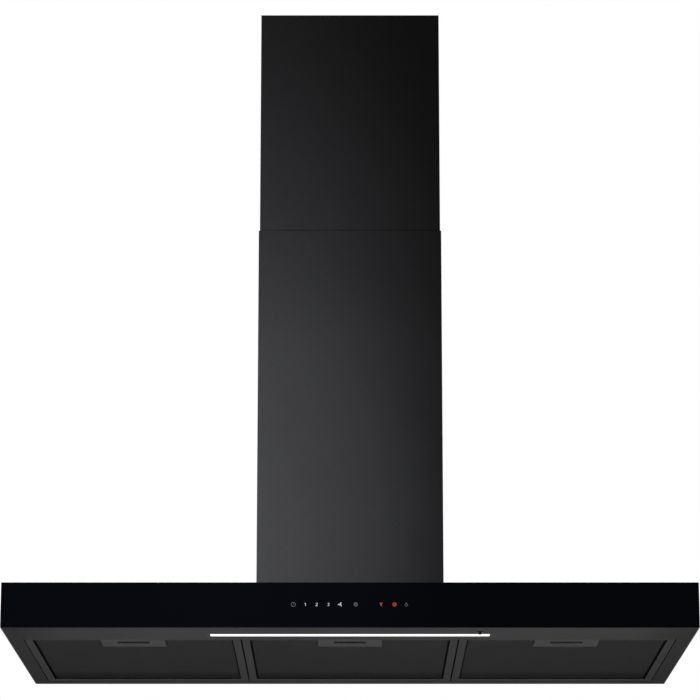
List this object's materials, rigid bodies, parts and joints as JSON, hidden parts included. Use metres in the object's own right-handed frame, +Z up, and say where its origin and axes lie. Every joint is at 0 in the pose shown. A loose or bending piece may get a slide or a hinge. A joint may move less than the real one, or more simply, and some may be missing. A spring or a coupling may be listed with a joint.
{
  "type": "chimney range hood",
  "caption": "Wall chimney range hood: flat canopy with a dark glass front, a light bar, hinged grease filters below, and a telescoping chimney over a blower.",
  "frame": {"origin": "on the wall plane, on the centre line, at half the height of the canopy's back", "axes": "+X to the right as one faces the hood, +Y towards the wall, +Z up"},
  "size_m": [0.898, 0.5, 0.9228],
  "materials": {
    "black_steel": "matte black powder coat",
    "underside_steel": "matte black powder coat",
    "galvanised": "galvanised sheet",
    "front_glass": "near-black back-printed glass",
    "foam_tape": "foam",
    "black_plastic": "moulded",
    "circuit_board": "board with tracks",
    "white_plastic": "moulded",
    "light_lens": "opal, lit",
    "led": "phosphor",
    "sensor_plastic": "dark dome",
    "zinc": "zinc plated",
    "rubber": "moulded",
    "motor_aluminium": "die cast",
    "iron": "laminated",
    "lead_sheath": "sheath",
    "filter_steel": "dark coated frame",
    "filter_mesh": "dark coated mesh",
    "handle_plastic": "moulded",
    "latch_plastic": "moulded"
  },
  "bodies": {
    "canopy": {"canopy_shell": "black_steel", "bottom_frame": "underside_steel", "front_channel": "galvanised", "front_glass": "front_glass", "glass_tape": "foam_tape", "control_housing": "black_plastic", "control_board": "circuit_board", "touch_pads": "foam_tape", "light_housing": "white_plastic", "light_lens": "light_lens", "light_end_caps": "handle_plastic", "led_board": "circuit_board", "leds": "led", "link_sensor": "sensor_plastic", "hinge_brackets": "galvanised", "hinge_pins": "zinc", "lower_chimney": "black_steel", "blower_casing_left": "black_plastic", "blower_casing_right": "black_plastic", "blower_rails": "galvanised", "blower_bushes": "rubber", "motor_housing": "motor_aluminium", "motor_bearings": "zinc", "motor_stator": "iron", "motor_bracket": "galvanised", "inlet_guard": "black_plastic", "outlet_collar": "black_plastic", "damper_pin": "zinc", "power_box": "black_plastic", "power_box_cover": "black_plastic", "power_board": "circuit_board", "motor_capacitor": "motor_aluminium", "cable_gland": "black_plastic", "light_lead": "lead_sheath", "control_lead": "lead_sheath", "motor_lead": "lead_sheath", "sheet_screws": "zinc"},
    "upper_chimney_body": {"upper_chimney": "black_steel", "chimney_bracket": "galvanised", "bracket_screws": "zinc"},
    "impeller_body": {"impeller": "galvanised", "motor_shaft": "zinc", "motor_rotor": "iron"},
    "flap_left_body": {"damper_flap_left": "black_plastic"},
    "flap_right_body": {"damper_flap_right": "black_plastic"},
    "filter_left": {"filter_frame_left": "filter_steel", "filter_mesh_left": "filter_mesh", "filter_handle_left": "handle_plastic", "latch_spring_left": "zinc"},
    "latch_left": {"filter_latch_left": "latch_plastic"},
    "filter_centre": {"filter_frame_centre": "filter_steel", "filter_mesh_centre": "filter_mesh", "filter_handle_centre": "handle_plastic", "latch_spring_centre": "zinc"},
    "latch_centre": {"filter_latch_centre": "latch_plastic"},
    "filter_right": {"filter_frame_right": "filter_steel", "filter_mesh_right": "filter_mesh", "filter_handle_right": "handle_plastic", "latch_spring_right": "zinc"},
    "latch_right": {"filter_latch_right": "latch_plastic"}
  },
  "joints": [
    {"name": "upper_chimney_slide", "type": "slide", "parent": "canopy", "child": "upper_chimney_body", "axis": [0, 0, 1], "range_m": [-0.25, 0.14]},
    {"name": "impeller_spin", "type": "hinge", "parent": "canopy", "child": "impeller_body", "pos_m": [0, -0.128, 0.13775], "axis": [1, 0, 0], "continuous": true},
    {"name": "flap_left_swing", "type": "hinge", "parent": "canopy", "child": "flap_left_body", "pos_m": [0, -0.128, 0.26575], "axis": [0, 1, 0], "range_deg": [0, 78]},
    {"name": "flap_right_swing", "type": "hinge", "parent": "canopy", "child": "flap_right_body", "pos_m": [0, -0.128, 0.26575], "axis": [0, -1, 0], "range_deg": [0, 78]},
    {"name": "filter_left_swing", "type": "hinge", "parent": "canopy", "child": "filter_left", "pos_m": [-0.2855, -0.0275, -0.02325], "axis": [1, 0, 0], "range_deg": [0, 60]},
    {"name": "latch_left_slide", "type": "slide", "parent": "filter_left", "child": "latch_left", "axis": [0, 1, 0], "range_m": [0, 0.005], "stiffness_N_per_m": 400, "springref_m": -0.004, "deforming": ["latch_spring_left"]},
    {"name": "filter_centre_swing", "type": "hinge", "parent": "canopy", "child": "filter_centre", "pos_m": [0, -0.0275, -0.02325], "axis": [1, 0, 0], "range_deg": [0, 60]},
    {"name": "latch_centre_slide", "type": "slide", "parent": "filter_centre", "child": "latch_centre", "axis": [0, 1, 0], "range_m": [0, 0.005], "stiffness_N_per_m": 400, "springref_m": -0.004, "deforming": ["latch_spring_centre"]},
    {"name": "filter_right_swing", "type": "hinge", "parent": "canopy", "child": "filter_right", "pos_m": [0.2855, -0.0275, -0.02325], "axis": [1, 0, 0], "range_deg": [0, 60]},
    {"name": "latch_right_slide", "type": "slide", "parent": "filter_right", "child": "latch_right", "axis": [0, 1, 0], "range_m": [0, 0.005], "stiffness_N_per_m": 400, "springref_m": -0.004, "deforming": ["latch_spring_right"]}
  ]
}
